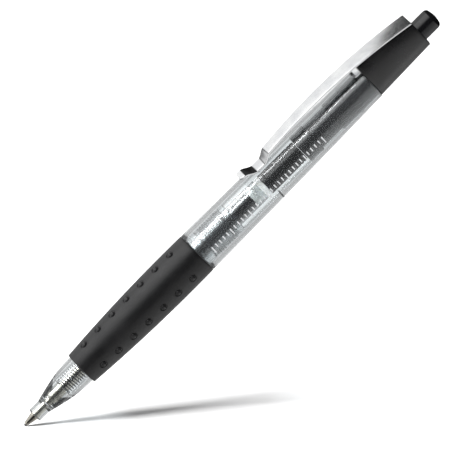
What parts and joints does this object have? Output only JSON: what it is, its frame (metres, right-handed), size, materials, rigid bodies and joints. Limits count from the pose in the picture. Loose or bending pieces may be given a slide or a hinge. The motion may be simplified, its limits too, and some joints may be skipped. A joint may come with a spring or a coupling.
{
  "type": "retractable gel pen",
  "caption": "Retractable gel pen with a clear two-part barrel, nubbed rubber grip, bent metal clip, standard refill, return spring and click mechanism.",
  "frame": {"origin": "the writing ball's point, on the pen's axis, with the tip out in its writing position", "axes": "+Z runs along the pen's axis from the writing point to the push button, -Y is the side the clip is on, and X is across the clip"},
  "size_m": [0.0126, 0.0153, 0.1462],
  "materials": {
    "clear_body": "clear polished moulding",
    "clear_tube": "clear extruded tube",
    "black_gloss": "polished black moulding",
    "black_satin": "satin black moulding",
    "grip_rubber": "matte black rubber",
    "white_plastic": "smooth natural moulding",
    "tip_metal": "turned nickel silver",
    "ball_carbide": "polished tungsten carbide",
    "spring_steel": "drawn spring wire",
    "clip_steel": "bright plated pressing",
    "ink_black": "wet black gel",
    "grease_clear": "clear grease"
  },
  "bodies": {
    "barrel_body": {"barrel": "clear_body", "end_cap": "black_satin", "cam_sleeve": "black_satin", "clip_base": "clip_steel"},
    "clip": {"clip_arm": "clip_steel"},
    "button": {"push_button": "black_gloss"},
    "rotor_body": {"rotor": "black_satin"},
    "cup": {"thrust_cup": "black_satin"},
    "spring_seat": {"return_spring": "spring_steel"},
    "front": {"front_section": "clear_body", "grip": "grip_rubber"},
    "refill": {"tip_cone": "tip_metal", "tip_holder": "tip_metal", "refill_tube": "clear_tube", "ink": "ink_black", "ink_follower": "grease_clear", "refill_plug": "white_plastic", "refill_end": "black_gloss"},
    "ball_body": {"ball": "ball_carbide"}
  },
  "joints": [
    {"name": "clip_flex", "type": "hinge", "parent": "barrel_body", "child": "clip", "pos_m": [0, -0.00808, 0.1227], "axis": [-1, 0, 0], "range_deg": [0, 5], "stiffness_Nm_per_rad": 0.7},
    {"name": "button_slide", "type": "slide", "parent": "barrel_body", "child": "button", "axis": [0, 0, 1], "range_m": [-0.0009, 0.006], "stiffness_N_per_m": 250},
    {"name": "rotor_turn", "type": "hinge", "parent": "button", "child": "rotor_body", "pos_m": [0, 0, 0.11], "axis": [0, 0, 1], "range_deg": [-6.8, 45.1]},
    {"name": "cup_slide", "type": "slide", "parent": "barrel_body", "child": "cup", "axis": [0, 0, 1], "range_m": [-0.0009, 0.006]},
    {"name": "unscrew_slide", "type": "slide", "parent": "barrel_body", "child": "spring_seat", "axis": [0, 0, -1], "range_m": [0, 0.0072]},
    {"name": "unscrew_turn", "type": "hinge", "parent": "spring_seat", "child": "front", "pos_m": [0, 0, 0.0616], "axis": [0, 0, -1], "range_deg": [0, 3240]},
    {"name": "refill_slide", "type": "slide", "parent": "spring_seat", "child": "refill", "axis": [0, 0, 1], "range_m": [-0.0009, 0.006], "deforming": ["return_spring"]},
    {"name": "ball_roll", "type": "hinge", "parent": "refill", "child": "ball_body", "pos_m": [0, 0, 0.00035], "axis": [1, 0, 0], "continuous": true}
  ],
  "couplings": [
    {"joint": "rotor_turn", "follows": "button_slide", "rad_per_m": 130.9},
    {"joint": "cup_slide", "follows": "button_slide", "ratio": 1},
    {"joint": "refill_slide", "follows": "button_slide", "ratio": 1},
    {"joint": "unscrew_slide", "follows": "unscrew_turn", "m_per_rad": 0.00012732}
  ]
}
